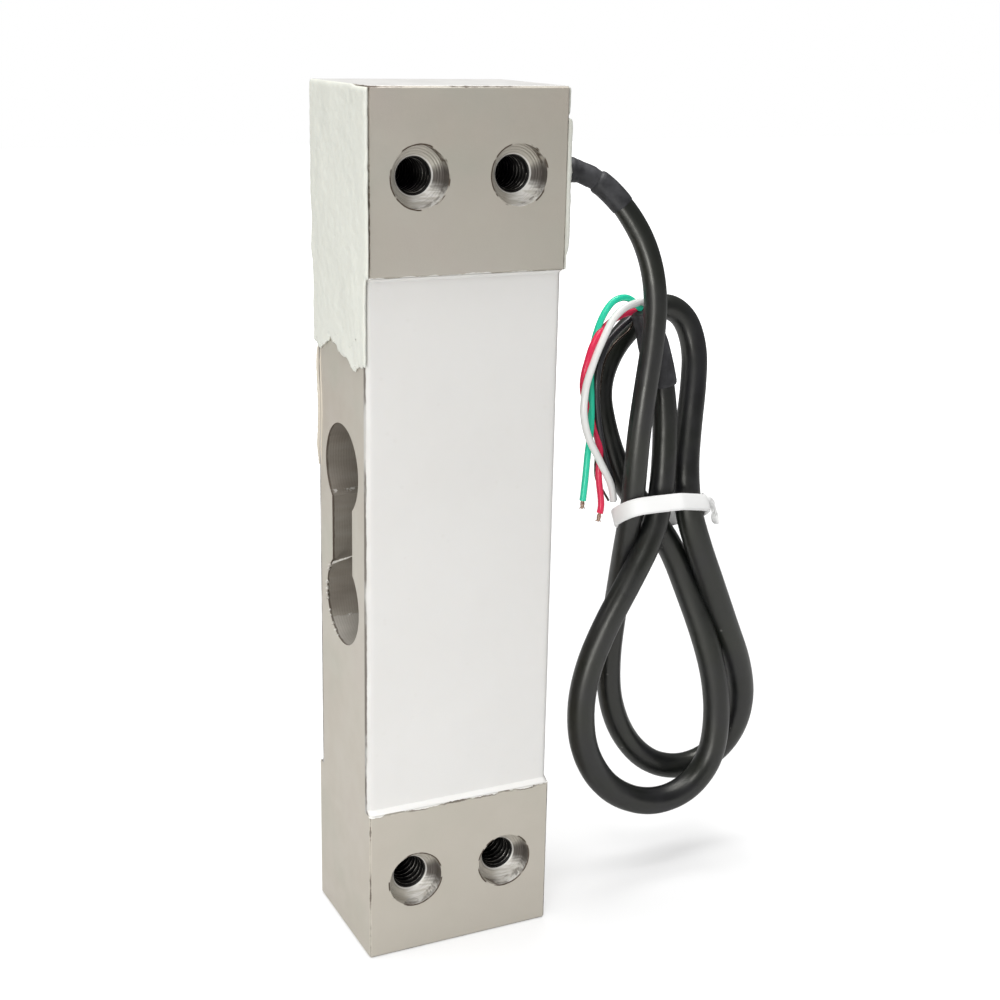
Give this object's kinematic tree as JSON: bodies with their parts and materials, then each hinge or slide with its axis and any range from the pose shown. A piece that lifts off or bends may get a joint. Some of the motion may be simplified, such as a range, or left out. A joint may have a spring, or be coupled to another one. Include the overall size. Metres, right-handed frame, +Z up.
{
  "type": "single point load cell",
  "caption": "Upright aluminium weighing beam with counterbored tapped holes, a binocular cut-out, silicone-coated recesses and a short cable folded into a tied hank.",
  "frame": {"origin": "centre of the beam's lower end face, on which it stands", "axes": "+Z up along the beam's length, +X across its broad faces towards the cable's exit, -Y out of the front broad face"},
  "size_m": [0.0766, 0.022, 0.13],
  "materials": {
    "aluminium": "milled, clear anodised",
    "silicone": "white silicone coating, matt",
    "sealant": "white potting sealant, matt",
    "gauge_foil": "amber polyimide with constantan foil",
    "terminal": "copper-clad glass laminate",
    "board": "green circuit board",
    "chip": "thick-film chip",
    "span_body": "lacquered resistor body",
    "lead_copper": "enamelled copper",
    "jacket": "black satin cable jacket",
    "sleeve": "black shrunk sleeve",
    "insulation_green": "green insulation",
    "insulation_red": "red insulation",
    "insulation_white": "white insulation",
    "insulation_black": "black insulation",
    "bare_copper": "bare copper strands",
    "tie_plastic": "white plastic tie"
  },
  "bodies": {
    "root": {"beam": "aluminium", "front_coat": "silicone", "rear_coat": "silicone", "left_sealant": "sealant", "right_sealant": "sealant", "gauge_front_upper": "gauge_foil", "gauge_front_lower": "gauge_foil", "gauge_rear_upper": "gauge_foil", "gauge_rear_lower": "gauge_foil", "front_terminals": "terminal", "rear_terminals": "terminal", "front_leads": "lead_copper", "rear_leads": "lead_copper", "junction_board": "board", "zero_resistor": "chip", "span_resistor": "span_body", "cross_leads": "lead_copper", "entry_sleeve": "sleeve", "cable_jacket": "jacket", "end_sleeve": "sleeve", "wire_green": "insulation_green", "wire_red": "insulation_red", "wire_white": "insulation_white", "wire_black": "insulation_black", "tip_green": "bare_copper", "tip_red": "bare_copper", "shield_wire": "bare_copper", "bundle_tie": "tie_plastic"}
  },
  "joints": []
}
